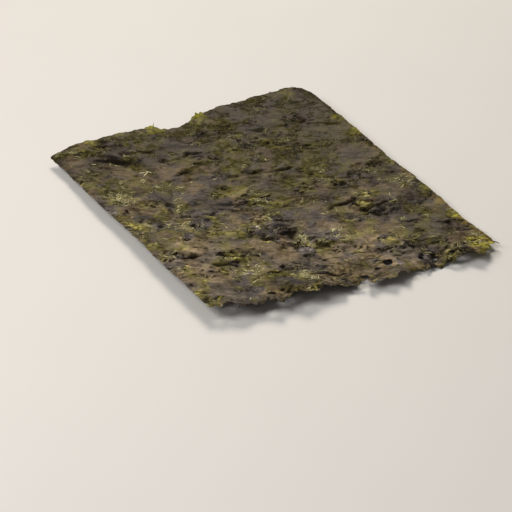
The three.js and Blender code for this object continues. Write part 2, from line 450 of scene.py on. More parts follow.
# How colour and lightness vary. Tones are powers of two, and a ramp is a strength and both ends of its reach.
mottle = {
    "calmShare": 0.7,  # how far a calm mark smooths the sheet
    "warmWay": (0.6, 0.6),  # towards the warmer back right
    "warmReach": (-20, 50),
    "crispWay": (0.49, 0.87),  # towards the softer back
    "crispLevel": 0.5,
    "crispRamps": ((0.85, 60, -25), (0.2, -15, -50)),
    # painted glow of light through the thin right and back edges
    "amberLine": (1.0, 1.6, 0.2),  # ramps from the right edge inwards
    "amberMarks": (0.85, 4.5, 1.0),
    "greenLine": (0.5, 2.2, 0.2),  # ramp from the back edge inwards
    "greenMarks": 0.9,
    "brownWarmth": 0.8,
    "fuzzPatches": 0.8,
    "slateLoss": 0.5,  # share of the slate lost where it is warm
    "hueNoises": ((0.85, 29, 7, 9.5, -9), (0.6, 30, 3.8, 5.2, -9)),  # strength, then the noise
    "hueGround": (1.2, 4, 0.45),  # strength, blur and middle of the fibrous ground
    "hueWarmth": 0.9,
    "hueFuzz": 1.1,
    "hueFront": (-0.65, 10, -40),
    "hueEdge": (0.5, 8, 2),
    "hueLevels": (-1.3, 1.25),
    "toneNoises": ((0.4, 1.6, 26, 4.6, 4.2, -6), (0.9, 1.5, 28, 2.4, 1.4, -6)),  # strength, steepness, noise
    "toneGround": (0.3, 1.05),  # shares on smooth and fibrous parts
    "toneBusy": (0.5, 1.65),
    "toneBroad": (0.28, 25, 15, 8, 16),
    "toneBlades": 0.1,
    "toneFuzz": 0.2,
    "toneTints": (0.35, 0.2, -0.35, -0.1),  # added by brown, olive, slate and warmth
    "toneLevel": -0.105,
    # painted light and shade: darker towards the right and the back, shade at the ragged edge and towards the
    # right, a painted band of light in front
    "toneSlope": (-0.1, -0.45),  # from the middle to the right edge and to the back edge
    "toneBack": ((-0.35, 0, 52.5), (-0.2, 0, 40)),
    "toneGlow": (0.2, -36, 16),  # strength, place and half width of a light band in front
    "toneEdge": (-0.5, 7, 2),
    "toneRight": (-0.7, 5, 40),
    "toneRightStart": (-55, -30),
    "toneCreases": (2.4, 4, 2.4),  # strength and blur of the shade round creases
    "toneFolds": 3.2,
    "foldBlur": (3.6, 2.4),
    "toneGains": (1.08, 0.9),  # of the darker and the lighter tones
    # lighter where the edges' painted glow is
    "toneGreen": 0.35,
    # strengths of the near black painted shade in hollows, blades' shadows, folds and pits, and its shares on
    # busy and crisp parts
    "darkHollows": 1.3,
    "darkShade": 0.7,
    "darkBusy": (0.4, 1.35),
    "darkCrisp": (0.4, 1.0),
    "darkFolds": 0.95,
    "darkPits": 0.9,
}


def grainNoise(seed, along, across, turnDegrees=0):
    # noise with its heading counted from the grain
    return noiseField(seed, along, across, relief["grain"] + turnDegrees)


def scaledNoise(strength, *noise):
    # a strength times a noise
    return strength * grainNoise(*noise)


def ramp(row, field):
    # a strength that comes in between both ends of its reach
    strength, start, full = row
    return strength * smoothStep(start, full, field)


def mixed(shares, amount):
    # from the first share to the second with an amount from 0 to 1
    return shares[0] + (shares[1] - shares[0]) * amount


def wayPlace(way):
    # how far a place lies along a way over the sheet
    return way[0] * gridX + way[1] * gridY


def patch(kind, lift=0):
    # 1 where a kind's noise and the lift are above its levels, 0 where they are below
    *noise, low, high = patches[kind]
    return smoothStep(low, high, grainNoise(*noise) + lift)


def marked(kind):
    # 1 inside the nearest mark of a kind and 0 outside, with an uneven border
    sizes = [np.hypot(gridX - x, gridY - y) / radius for x, y, radius in marks[kind]]
    return smoothStep(*marks["border"], scaledNoise(*marks["uneven"]) + np.minimum.reduce(sizes))


def bladeLayer(seed, along, across, turnDegrees, level):
    # flat patches with sharp edges: noise pushed through a steep S
    strength, seedStep, *size = relief["bladeFray"]
    noise = grainNoise(seed, along, across, turnDegrees) + strength * grainNoise(seed + seedStep, *size)
    return smoothStep(level - relief["bladeStep"], level + relief["bladeStep"], noise)


def bladeShadowStrip(blade):
    # painted shadow in the strip just outside a blade's front and right edges: its slope falling that way,
    # broken up by noise
    slopeY, slopeX = np.gradient(blade, cell)
    wayX, wayY = relief["shadeWay"]
    return np.clip(wayX * slopeX + wayY * slopeY, 0, 1) * patch("bladeShade")


def creaseLines(seed, turnDegrees):
    # the zero lines of a stretched noise, kept only where a second noise is high, so that they are short
    noise = grainNoise(seed, *relief["creaseSize"], turnDegrees)
    line = np.exp(-((noise / relief["creaseWidth"]) ** 2))
    return line * smoothStep(*relief["creaseLevels"], grainNoise(seed + 1, *relief["creaseBreak"]))


def foldLines():
    # a Gaussian valley along each fold's wavering line, fading towards both ends
    waver = scaledNoise(*relief["foldWaver"])
    past, within = relief["foldEnds"]
    deepest = np.zeros(gridX.shape)
    for startX, startY, endX, endY, halfWidth in relief["folds"]:
        length = math.hypot(endX - startX, endY - startY)
        heading = math.degrees(math.atan2(endY - startY, endX - startX))
        ahead, aside = turnedAxes(gridX - startX, gridY - startY, heading)
        share = ahead / length
        ends = smoothStep(-past, within, share) * smoothStep(1 + past, 1 - within, share)
        deepest = np.maximum(deepest, bump(aside + waver, 0, halfWidth) * ends)
    return deepest


def hueField():
    # how olive the sheet is: noises plus fibrous, warm, fuzzy and ragged parts, less the front, through an S
    hue = sum(scaledNoise(*row) for row in mottle["hueNoises"])
    strength, blur, middle = mottle["hueGround"]
    hue += strength * (blurred(olive, blur) - middle) + mottle["hueWarmth"] * warm + mottle["hueFuzz"] * fuzz
    hue += ramp(mottle["hueFront"], gridY) + ramp(mottle["hueEdge"], edges["front"])
    return smoothStep(*mottle["hueLevels"], hue)


def slowTone():
    # the tone's slow change, painted light and shade: slopes darker to the right and the back, ramps at the
    # edges, a painted band of light in front and the zones
    toRight, toBack = mottle["toneSlope"]
    tone = toRight * gridX / (sheetForm["wide"] / 2) + toBack * gridY / (sheetForm["deep"] / 2)
    tone += sum(ramp(row, gridY) for row in mottle["toneBack"]) + ramp(mottle["toneEdge"], edges["front"])
    tone += ramp(mottle["toneRight"], gridX) * smoothStep(*mottle["toneRightStart"], gridY)
    strength, place, half = mottle["toneGlow"]
    tone += mottle["toneLevel"] + strength * bump(gridY, place, half)
    for x, y, half, strength in marks["zones"]:
        tone += strength * bump(gridX, x, half) * bump(gridY, y, half)
    return tone


def toneField():
    # lightness: steep noises on the fibrous and busy parts, broad noise, blades and fuzz, softer at the back,
    # then the slow change with its painted light and shade and the tints, less painted shade round creases
    # and folds, plus painted glow on the yellow-green edges
    tone = 0
    for strength, steepness, *noise in mottle["toneNoises"]:
        tone += strength * np.tanh(steepness * grainNoise(*noise))
    tone *= mixed(mottle["toneGround"], olive) * mixed(mottle["toneBusy"], busy)
    tone += scaledNoise(*mottle["toneBroad"]) + mottle["toneBlades"] * (blades[0] - blades[2])
    tone = (tone + mottle["toneFuzz"] * fuzz) * crisp + slowTone()
    for strength, tint in zip(mottle["toneTints"], (brown, hue, slate, warm)):
        tone += strength * tint
    strength, *blur = mottle["toneCreases"]
    tone -= strength * blurred(creases, *blur, relief["grain"]) + mottle["toneFolds"] * foldShade
    darker, lighter = mottle["toneGains"]
    return np.where(tone < 0, darker * tone, lighter * tone) + mottle["toneGreen"] * green


def paintedShadeField():
    # share of near black painted shade: creases, hollows and blades' shade on busy, crisp parts, plus folds
    # and pits
    dark = creases + mottle["darkHollows"] * hollows + mottle["darkShade"] * shade
    dark *= mixed(mottle["darkBusy"], busy) * mixed(mottle["darkCrisp"], crisp)
    return np.clip(dark + mottle["darkFolds"] * folds + mottle["darkPits"] * pits, 0, 1)


def crinkleField():
    # swells, dimples and wrinkles less creases, pits and hollows, lower on calm parts and at cuts, less folds
    crinkle = scaledNoise(*relief["swell"])
    crinkle += scaledNoise(*relief["dimple"]) * mixed(relief["dimpleShares"], olive)
    crinkle += scaledNoise(*relief["wrinkle"]) * mixed(relief["wrinkleShares"], smoothPatch)
    crinkle -= relief["creaseDepth"] * creases + relief["pitDepth"] * pits + relief["hollowDepth"] * hollows
    crinkle *= mixed(relief["crispShares"], crisp) * mixed(relief["busyShares"], busy)
    crinkle *= mixed(relief["cutShares"], smoothStep(0, relief["cutReach"], cutDistance))
    return crinkle - relief["foldDepth"] * folds


def thicknessField():
    # the sheet's thickness plus overlapping blades and fibres of two headings, thinner towards the rim
    left, right = (grainNoise(*noise) for noise in relief["fibres"])
    fibre = np.where(grainNoise(*relief["fibreSwitch"]) > 0, left, right)
    thickness = sheetForm["thick"] + relief["bladeThick"] * (sum(blades) - relief["bladeMean"])
    thickness += relief["fibreThick"] * fibre * mixed(relief["fibreShares"], olive) * crisp
    thickness *= mixed(relief["rimShares"], smoothStep(0, relief["rimReach"], inside))
    return np.maximum(thickness, relief["leastThick"])


blades = [bladeLayer(*row) for row in relief["blades"]]
smoothPatch = np.maximum.reduce([cover * blade for cover, blade in zip(relief["bladeCover"], blades)])
calm = mottle["calmShare"] * marked("calm")
olive = (1 - smoothPatch) * (1 - calm)
busy = patch("busy") * (1 - calm)
warm = smoothStep(*mottle["warmReach"], wayPlace(mottle["warmWay"]))
crisp = mottle["crispLevel"] + sum(ramp(row, wayPlace(mottle["crispWay"])) for row in mottle["crispRamps"])
# painted glow of light through the thin right and back edges, amber and yellow-green
amberLine = ramp(mottle["amberLine"], edges["right"]) * patch("amberEdge")
amber = np.maximum(amberLine, ramp(mottle["amberMarks"], edges["right"]) * marked("amber"))
greenLine = ramp(mottle["greenLine"], edges["back"]) * patch("greenEdge")
green = np.maximum(greenLine, mottle["greenMarks"] * marked("green"))
brown = patch("brown", mottle["brownWarmth"] * warm)
fuzz = np.maximum(mottle["fuzzPatches"] * patch("fuzz"), marked("fuzz"))
slate = np.maximum(patch("slate"), marked("slate")) * (1 - mottle["slateLoss"] * warm)
hue = hueField()
creases = np.maximum.reduce([creaseLines(*row) for row in relief["creases"]])
folds = foldLines()
foldShade = blurred(folds, *mottle["foldBlur"], relief["grain"])
pits = patch("pit") * mixed(relief["pitShares"], olive)
hollows = patch("hollow") * mixed(relief["hollowShares"], olive)
shade = np.maximum(bladeShadowStrip(blades[0]), bladeShadowStrip(blades[1]))
tone = toneField()
dark = paintedShadeField()
form = formHeight(gridX, gridY)
lowFace = np.maximum(form + ramp(relief["floorGap"], form) + crinkleField(), 0)
lowFace -= lowFace[inside > 0].min()
highFace = lowFace + thicknessField()
print("colours and relief worked out")


# How the grid is trimmed to the outline
trim = {
    "snap": 0.3,  # points within this share of a cell from the border are moved on to it
    "flat": 1e-9,  # keeps a level field from dividing by zero
    "fill": 0.5,  # depth in cells to which a touching point is filled in
    "tries": 8,
}


def gridTriangles(rows, columns):
    # two triangles a cell, with the diagonals of neighbouring cells crossed
    number = np.arange(rows * columns).reshape(rows, columns)
    a, b = number[:-1, :-1], number[:-1, 1:]
    d, c = number[1:, :-1], number[1:, 1:]
    even = (np.add.outer(np.arange(rows - 1), np.arange(columns - 1)) % 2 == 0)[..., None]
    first = np.where(even, np.stack((a, b, c), -1), np.stack((a, b, d), -1))
    second = np.where(even, np.stack((a, c, d), -1), np.stack((b, c, d), -1))
    return np.concatenate((first.reshape(-1, 3), second.reshape(-1, 3)))


def turnedTo(triangles, chosen):
    # each triangle turned so that its one chosen corner comes first
    start = np.argmax(chosen, axis=1)[:, None]
    return np.take_along_axis(triangles, (start + np.arange(3)) % 3, 1)


def cutGrid(field):
    # Keeps the grid's triangles where field is positive. Points close to its zero line are moved on to it,
    # and triangles that cross it are cut at the crossing. Gives for every kept point two grid points and the
    # share between them, the moved grid, and the triangles.
    slopeY, slopeX = np.gradient(field, cell)
    steep = slopeX**2 + slopeY**2 + trim["flat"]
    near = np.abs(field) < trim["snap"] * cell * np.sqrt(steep)
    movedX = (gridX - np.where(near, field * slopeX / steep, 0)).ravel()
    movedY = (gridY - np.where(near, field * slopeY / steep, 0)).ravel()
    value = np.where(near, 0, field).ravel()
    triangles = gridTriangles(*field.shape)
    sign = np.sign(value)[triangles]
    above, below = (sign > 0).sum(1), (sign < 0).sum(1)
    whole = triangles[(below == 0) & (above > 0)]
    mostlyOut = (above == 1) & (below == 2)
    mostlyIn = (above == 2) & (below == 1)
    split = (above == 1) & (below == 1)
    oneIn = turnedTo(triangles[mostlyOut], sign[mostlyOut] > 0)
    oneOut = turnedTo(triangles[mostlyIn], sign[mostlyIn] < 0)
    onLine = turnedTo(triangles[split], sign[split] == 0)
    outFirst = value[onLine[:, 1]] < 0
    pairs = np.concatenate((oneIn[:, :2], oneIn[:, ::2], oneOut[:, :2], oneOut[:, ::2], onLine[:, 1:]))
    crossings, place = np.unique(np.sort(pairs, 1), axis=0, return_inverse=True)
    place = place.ravel() + value.size
    sizes = np.cumsum((len(oneIn), len(oneIn), len(oneOut), len(oneOut)))
    inA, inB, outA, outB, lineCut = np.split(place, sizes)
    lineA = np.where(outFirst, lineCut, onLine[:, 1])
    lineB = np.where(outFirst, onLine[:, 2], lineCut)
    kept = np.concatenate((
        whole,
        np.stack((oneIn[:, 0], inA, inB), 1),
        np.stack((outA, oneOut[:, 1], oneOut[:, 2]), 1),
        np.stack((outA, oneOut[:, 2], outB), 1),
        np.stack((onLine[:, 0], lineA, lineB), 1),
    ))
    startValue, endValue = value[crossings[:, 0]], value[crossings[:, 1]]
    share = startValue / (startValue - endValue)
    own = np.arange(value.size)
    first = np.concatenate((own, crossings[:, 0]))
    second = np.concatenate((own, crossings[:, 1]))
    return first, second, np.concatenate((np.zeros(value.size), share)), movedX, movedY, kept


def largestPart(triangles, count):
    # the triangles of the largest connected part: labels spread over shared corners until they rest
    label = np.arange(count)
    while True:
        lowest = label[triangles].min(1)
        spread = label.copy()
        np.minimum.at(spread, triangles.ravel(), np.repeat(lowest, 3))
        spread = spread[spread]
        if np.array_equal(spread, label):
            break
        label = spread
    mine = label[triangles[:, 0]]
    return triangles[mine == np.bincount(mine).argmax()]


def borderEdges(triangles):
    # the directed edges that only one triangle has
    sides = np.concatenate((triangles[:, [0, 1]], triangles[:, [1, 2]], triangles[:, [2, 0]]))
    _, where, times = np.unique(np.sort(sides, 1), axis=0, return_index=True, return_counts=True)
    return sides[where[times == 1]]


def pinchedPoints(triangles, count):
    # points where two parts of the border touch
    starts = np.bincount(borderEdges(triangles)[:, 0], minlength=count)
    return np.flatnonzero(starts > 1)


def cutClean(field):
    # cuts the grid, filling in points where the border would touch itself
    field = field.copy()
    for attempt in range(trim["tries"]):
        first, second, share, movedX, movedY, triangles = cutGrid(field)
        triangles = largestPart(triangles, len(first))
        pinched = pinchedPoints(triangles, len(first))
        if not len(pinched):
            break
        field.ravel()[first[pinched]] = trim["fill"] * cell
    used = np.unique(triangles)
    renumber = np.zeros(len(first), int)
    renumber[used] = np.arange(len(used))
    print("cut clean after", attempt + 1, "tries, touching points left:", len(pinched))
    return first[used], second[used], share[used], movedX, movedY, renumber[triangles]


sharpDegrees = 62  # edges that turn more than this are shaded sharp


def addMesh(name, points, faces, material):
    # a mesh object at the origin, in metres, from points in millimetres
    mesh = bpy.data.meshes.new(name)
    mesh.from_pydata(points * mm, [], faces)
    mesh.shade_smooth()
    mesh.set_sharp_from_angle(angle=math.radians(sharpDegrees))
    mesh.materials.append(material)
    piece = bpy.data.objects.new(name, mesh)
    bpy.context.scene.collection.objects.link(piece)
    return piece


def addAttribute(piece, name, values):
    # one number for each point, for the material to read
    layer = piece.data.attributes.new(name, "FLOAT", "POINT")
    layer.data.foreach_set("value", np.ascontiguousarray(values, np.float32))


def addMap(piece, corners):
    # a UV map from one place for each face corner
    layer = piece.data.uv_layers.new(name="OFBake")
    layer.data.foreach_set("uv", np.ascontiguousarray(corners, np.float32).ravel())


# The sheet's UV map: the upper face in the left half, the under face in the right half, the rim below them
sheetMap = {
    "corner": (0.01, 0.04),
    "size": (0.48, 0.95),
    "underShift": (0.5, 0),
    "rimStep": 0.8,  # share of its place that a rim face takes up
    "rimLow": 0.005,
    "rimHigh": 0.02,
}


def makeSheet(material):
    # the trimmed grid twice, at the upper and the under height, and a rim of quads between their borders
    first, second, share, movedX, movedY, triangles = cutClean(inside)

    def at(field):
        # a field at the kept points, each mixed from its two grid points
        flat = field.ravel()
        return flat[first] * (1 - share) + flat[second] * share

    x, y = at(movedX), at(movedY)
    upper = np.stack((x + shift[0], y + shift[1], at(highFace)), 1)
    under = np.stack((x + shift[0], y + shift[1], at(lowFace)), 1)
    count = len(x)
    border = borderEdges(triangles)
    start, end = border[:, 0], border[:, 1]
    outer = np.stack((start + count, end + count, end), 1)
    inner = np.stack((start + count, end, start), 1)
    faces = np.concatenate((triangles, triangles[:, ::-1] + count, outer, inner))
    piece = addMesh("noriSheet", np.concatenate((upper, under)), faces, material)
    carried = {
        "olive": olive, "brown": brown, "hue": hue, "tone": tone, "dark": dark,
        "amber": amber, "green": green, "slate": slate, "crisp": crisp,
    }
    for name, field in carried.items():
        addAttribute(piece, name, np.tile(at(field), 2))
    place = np.stack(((x - gridX.min()) / np.ptp(gridX), (y - gridY.min()) / np.ptp(gridY)), 1)
    flat = place * sheetMap["size"] + sheetMap["corner"]
    turn = np.arange(len(border)) / len(border)
    after = turn + sheetMap["rimStep"] / len(border)
    low, high = np.full(len(border), sheetMap["rimLow"]), np.full(len(border), sheetMap["rimHigh"])
    outerMap = np.stack((turn, low, after, low, after, high), 1).reshape(-1, 2)
    innerMap = np.stack((turn, low, after, high, turn, high), 1).reshape(-1, 2)
    upperMap = flat[triangles.ravel()]
    underMap = flat[triangles[:, ::-1].ravel()] + sheetMap["underShift"]
    addMap(piece, np.concatenate((upperMap, underMap, outerMap, innerMap)))
    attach(piece, "root")
    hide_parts("nori_sheet")
    print("sheet made with", len(faces), "triangles")


def addNode(tree, kind, inputs=None, **settings):
    # a shader node with settings and unlinked inputs filled in
    node = tree.nodes.new(kind)
    for name, value in settings.items():
        setattr(node, name, value)
    for name, value in (inputs or {}).items():
        node.inputs[name].default_value = value
    return node


def newMaterial(name):
    # an empty node material, as (material, tree, principled shader)
    material = bpy.data.materials.new(name)
    material.use_nodes = True
    tree = material.node_tree
    tree.nodes.clear()
    output = addNode(tree, "ShaderNodeOutputMaterial")
    shader = addNode(tree, "ShaderNodeBsdfPrincipled")
    tree.links.new(shader.outputs["BSDF"], output.inputs["Surface"])
    return material, tree, shader


mixInputs, mixResult = (6, 7), 2  # the sockets of a mix node that hold colours


def mixColour(tree, factor, first, second):
    # the mix of two colours, each a socket or fixed numbers, by a socket
    node = addNode(tree, "ShaderNodeMix", data_type="RGBA")
    tree.links.new(factor, node.inputs["Factor"])
    for slot, colour in zip(mixInputs, (first, second)):
        if isinstance(colour, tuple):
            node.inputs[slot].default_value = (*colour, 1)
        else:
            tree.links.new(colour, node.inputs[slot])
    return node.outputs[mixResult]


def mathNode(tree, operation, *values):
    # one step of arithmetic on sockets and fixed numbers
    node = addNode(tree, "ShaderNodeMath", operation=operation)
    for slot, value in enumerate(values):
        if isinstance(value, (int, float)):
            node.inputs[slot].default_value = value
        else:
            tree.links.new(value, node.inputs[slot])
    return node.outputs[0]


def rangeNode(tree, value, low, high, toLow=0.0, toHigh=1.0):
    # a smooth step of a socket from low..high to toLow..toHigh
    node = addNode(tree, "ShaderNodeMapRange", interpolation_type="SMOOTHSTEP")
    tree.links.new(value, node.inputs["Value"])
    for name, number in (("From Min", low), ("From Max", high), ("To Min", toLow), ("To Max", toHigh)):
        node.inputs[name].default_value = number
    return node.outputs["Result"]


def readAttribute(tree, name):
    # a number that the mesh carries
    return addNode(tree, "ShaderNodeAttribute", attribute_name=name).outputs["Fac"]


noiseRoughness = 0.55


def noiseNode(tree, lump, detail, stretch=(1, 1, 1), turnDegrees=0.0):
    # noise on Object coordinates, in lumps of some millimetres stretched along a heading
    place = addNode(tree, "ShaderNodeTexCoord")
    turn = (0, 0, math.radians(turnDegrees))
    mapping = addNode(tree, "ShaderNodeMapping", {"Scale": stretch, "Rotation": turn}, vector_type="TEXTURE")
    lumps = {"Scale": 1 / (lump * mm), "Detail": detail, "Roughness": noiseRoughness}
    noise = addNode(tree, "ShaderNodeTexNoise", lumps)
    tree.links.new(place.outputs["Object"], mapping.inputs["Vector"])
    tree.links.new(mapping.outputs["Vector"], noise.inputs["Vector"])
    return noise.outputs["Fac"]


def swing(tree, noise, spread):
    # a noise about its middle, times a spread
    return mathNode(tree, "MULTIPLY", mathNode(tree, "SUBTRACT", noise, 0.5), spread)


# Finish of the roasted laver: colours are linear
laverFinish = {
    "grey": (0.0635, 0.0525, 0.040),
    "brown": (0.090, 0.065, 0.036),
    "olive": (0.0715, 0.0632, 0.0122),
    "slate": (0.052, 0.046, 0.045),
    "fleck": (0.24, 0.215, 0.10),
    # near black painted shade in creases, folds, pits and hollows
    "paintedShadeBlack": (0.004, 0.003, 0.001),
    # painted glow of light through the thin edges
    "amber": (0.15, 0.105, 0.016),
    "yellowGreen": (0.19, 0.175, 0.014),
    "sheen": (0.195, 0.165, 0.122),
    # the numbers that the sheet carries, and the colour that each mixes in
    "tints": (
        ("brown", "brown"),
        ("hue", "olive"),
        ("slate", "slate"),
        ("amber", "amber"),
        ("green", "yellowGreen"),
    ),
    "streakNoise": (0.9, 4, (1.4, 1.0, 1)),  # lump in millimetres, detail and stretch
    "streakTurn": -8,  # degrees from the grain
    "speckNoise": (0.6, 3, (1.3, 0.9, 1)),
    "streaks": (1.9, 4.5),  # spread of the fine streaks on smooth and fibrous parts, as powers of two
    "specks": (0.0, 2.9),  # and of the specks
    "sheenTones": (0.1, 1.4, 0, 0.2),  # tones between which the sheen comes in, and its shares there
    "fleckLevels": (0.6, 0.72),
    # how far specks break up the near black painted shade, and the levels at which it comes in
    "darkNudge": 0.3,  # how far specks break up the dark parts
    "darkLevels": (0.1, 0.9, 0, 0.92),
    "roughness": (0.45, 0.75),  # of smooth and fibrous parts
    "shine": 0.10,
    "shineTint": (1.0, 0.70, 0.50),
    "bumpDepth": 0.09,  # millimetres
    "bumpShares": (0.2, 1),
}


def setShine(shader):
    # the weak warm shine that all laver has
    shader.inputs["Specular IOR Level"].default_value = laverFinish["shine"]
    shader.inputs["Specular Tint"].default_value = (*laverFinish["shineTint"], 1)


def makeLaver():
    # smooth blades over a fibrous ground: the tints mixed, times two to the power of the tone, then a painted
    # pale sheen on the lightest tones, flecks and near black painted shade
    material, tree, shader = newMaterial("roastedLaver")
    streakHeading = relief["grain"] + laverFinish["streakTurn"]
    streak = noiseNode(tree, *laverFinish["streakNoise"], streakHeading)
    speck = noiseNode(tree, *laverFinish["speckNoise"], relief["grain"])
    rough = readAttribute(tree, "olive")
    streakSpread = rangeNode(tree, rough, 0, 1, *laverFinish["streaks"])
    streakSpread = mathNode(tree, "MULTIPLY", streakSpread, readAttribute(tree, "crisp"))
    speckSpread = rangeNode(tree, rough, 0, 1, *laverFinish["specks"])
    fine = mathNode(tree, "ADD", swing(tree, streak, streakSpread), swing(tree, speck, speckSpread))
    tone = mathNode(tree, "ADD", readAttribute(tree, "tone"), fine)
    colour = laverFinish["grey"]
    for carried, tint in laverFinish["tints"]:
        colour = mixColour(tree, readAttribute(tree, carried), colour, laverFinish[tint])
    scaled = addNode(tree, "ShaderNodeVectorMath", operation="SCALE")
    tree.links.new(colour, scaled.inputs[0])
    tree.links.new(mathNode(tree, "POWER", 2.0, tone), scaled.inputs["Scale"])
    sheen = rangeNode(tree, tone, *laverFinish["sheenTones"])
    colour = mixColour(tree, sheen, scaled.outputs["Vector"], laverFinish["sheen"])
    fleckShare = mathNode(tree, "MULTIPLY", rangeNode(tree, speck, *laverFinish["fleckLevels"]), rough)
    colour = mixColour(tree, fleckShare, colour, laverFinish["fleck"])
    # painted shade: near black, and dull, where the sheet carries its dark share
    broken = mathNode(tree, "ADD", readAttribute(tree, "dark"), swing(tree, speck, laverFinish["darkNudge"]))
    paintedShadeShare = rangeNode(tree, broken, *laverFinish["darkLevels"])
    colour = mixColour(tree, paintedShadeShare, colour, laverFinish["paintedShadeBlack"])
    tree.links.new(colour, shader.inputs["Base Color"])
    roughness = rangeNode(tree, rough, 0, 1, *laverFinish["roughness"])
    tree.links.new(mathNode(tree, "MAXIMUM", roughness, paintedShadeShare), shader.inputs["Roughness"])
    setShine(shader)
    strength = rangeNode(tree, rough, 0, 1, *laverFinish["bumpShares"])
    height = mathNode(tree, "MULTIPLY", mathNode(tree, "ADD", streak, speck), strength)
    fineBump = addNode(tree, "ShaderNodeBump", {"Strength": 1.0, "Distance": laverFinish["bumpDepth"] * mm})
    tree.links.new(height, fineBump.inputs["Height"])
    tree.links.new(fineBump.outputs["Normal"], shader.inputs["Normal"])
    return material


makeSheet(makeLaver())


lastCell = 1.001  # keeps a place at the grid's end within its last cell


def surfaceAt(field, x, y):
    # a grid field at any place, mixed from the four grid points round it
    column = np.clip((x - gridX[0, 0]) / cell, 0, gridX.shape[1] - lastCell)
    row = np.clip((y - gridY[0, 0]) / cell, 0, gridX.shape[0] - lastCell)
    left, low = column.astype(int), row.astype(int)
    across, up = column - left, row - low
    front = field[low, left] * (1 - across) + field[low, left + 1] * across
    back = field[low + 1, left] * (1 - across) + field[low + 1, left + 1] * across
    return front * (1 - up) + back * up


# The form of a ribbon of laver, and its own small square of the UV map
ribbonForm = {
    "stations": 4,
    "blunt": 1.03,  # just over 1, so that a ribbon's ends keep some width
    "edgeThick": (0.4, 1),  # shares of the thickness at the ends and the middle
    "lift": 0.02,  # millimetres over the sheet
    "walls": (0.15, 0.7),  # start and size of the walls in the square
    "cap": (0.02, 0.2, 0.1, 0.8),  # left, low, right and high side of the first end
    "capStep": (0.88, 0),  # from the first end to the last
}


def ribbonMap(count, stations):
    # every ribbon in a small square of its own: length across the square, the way round it upwards
    lane = math.ceil(math.sqrt(count))
    station, corner = np.meshgrid(np.arange(stations - 1), np.arange(4), indexing="ij")
    stepU = np.stack((station, station, station + 1, station + 1), -1) / (stations - 1)
    stepV = np.stack((corner, corner + 1, corner + 1, corner), -1) / 4
    start, size = ribbonForm["walls"]
    walls = np.stack((stepU, stepV), -1).reshape(-1, 2) * size + start
    left, low, right, high = ribbonForm["cap"]
    cap = np.array(((left, low), (right, low), (right, high), (left, high)))
    own = np.concatenate((walls, cap, cap + ribbonForm["capStep"]))
    square = np.stack((np.arange(count) % lane, np.arange(count) // lane), 1)
    return ((square[:, None] + own[None]) / lane).reshape(-1, 2)


def ribbons(name, spine, heading, halfWidth, halfThick, tone, material):
    # Closed ribbons: at each station of a spine a diamond of left, top, right and bottom points, joined by
    # quads and shut by a quad at each end. spine is ribbons by stations by 3, tone one number a ribbon, the
    # others ribbons by stations.
    count, stations = heading.shape
    side = np.stack((-np.sin(heading), np.cos(heading), np.zeros_like(heading)), -1) * halfWidth[..., None]
    up = np.zeros_like(side)
    up[..., 2] = halfThick
    points = np.stack((spine + side, spine + up, spine - side, spine - up), 2).reshape(-1, 3)
    number = np.arange(count * stations * 4).reshape(count, stations, 4)
    around = np.roll(number, -1, axis=2)
    walls = np.stack((number[:, :-1], around[:, :-1], around[:, 1:], number[:, 1:]), -1).reshape(count, -1, 4)
    ends = np.stack((number[:, 0, ::-1], number[:, -1]), 1)
    faces = np.concatenate((walls, ends), 1).reshape(-1, 4)
    piece = addMesh(name, points + (shift[0], shift[1], 0), faces, material)
    addAttribute(piece, "tone", np.repeat(tone, stations * 4))
    addMap(piece, ribbonMap(count, stations))
    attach(piece, "root")
    print(name, "made with", len(faces) * 2, "triangles")


def drawn(chance, count, row):
    # chance sizes from the least to the most, the large ones the rarer the higher the power
    least, most, power = row
    return least + (most - least) * chance.random(count) ** power


def pickPoints(chance, kind, weight):
    # numbers of grid points, each as likely as its weight
    return chance.choice(weight.size, kind["count"], p=weight.ravel() / weight.sum())


def thrown(chance, kind, x, y, heading):
    # a ribbon at each place: sizes by chance, a heading spread about the given one, and a bend either way
    count = kind["count"]
    throw = {"x": x, "y": y}
    for name in ("length", "width", "tone"):
        throw[name] = drawn(chance, count, kind[name])
    throw["turn"] = heading + chance.normal(0, kind["turn"], count)
    throw["bend"] = chance.uniform(-1, 1, count) * kind["bend"]
    throw["rise"] = drawn(chance, count, kind["rise"])
    return throw


def setFirst(throw, names, rows):
    # the first ribbons get set values, one row for each
    for name, values in zip(names, np.array(rows).T):
        throw[name][:len(values)] = values


def laidRibbons(name, throw, kind, material):
    # Bent ribbons on the sheet's upper face: each runs through its place along an arc whose heading turns
    # evenly, and its far end rises with the square of the way.
    along = np.linspace(-1, 1, ribbonForm["stations"])[None]
    heading = throw["turn"][:, None] + throw["bend"][:, None] * along
    step = throw["length"][:, None] / (ribbonForm["stations"] - 1)
    middle = (heading[:, 1:] + heading[:, :-1]) / 2
    none = np.zeros((len(heading), 1))
    pathX = np.concatenate((none, np.cumsum(step * np.cos(middle), 1)), 1)
    pathY = np.concatenate((none, np.cumsum(step * np.sin(middle), 1)), 1)
    x = throw["x"][:, None] + pathX - kind["anchor"] * pathX[:, -1:]
    y = throw["y"][:, None] + pathY - kind["anchor"] * pathY[:, -1:]
    taper = np.sqrt(ribbonForm["blunt"] - along**2)
    z = surfaceAt(highFace, x, y) + ribbonForm["lift"] + throw["rise"][:, None] * ((along + 1) / 2) ** 2
    halfWidth = throw["width"][:, None] / 2 * taper
    halfThick = np.broadcast_to(kind["thick"] / 2 * mixed(ribbonForm["edgeThick"], taper), halfWidth.shape)
    ribbons(name, np.stack((x, y, z), -1), heading, halfWidth, halfThick, throw["tone"], material)


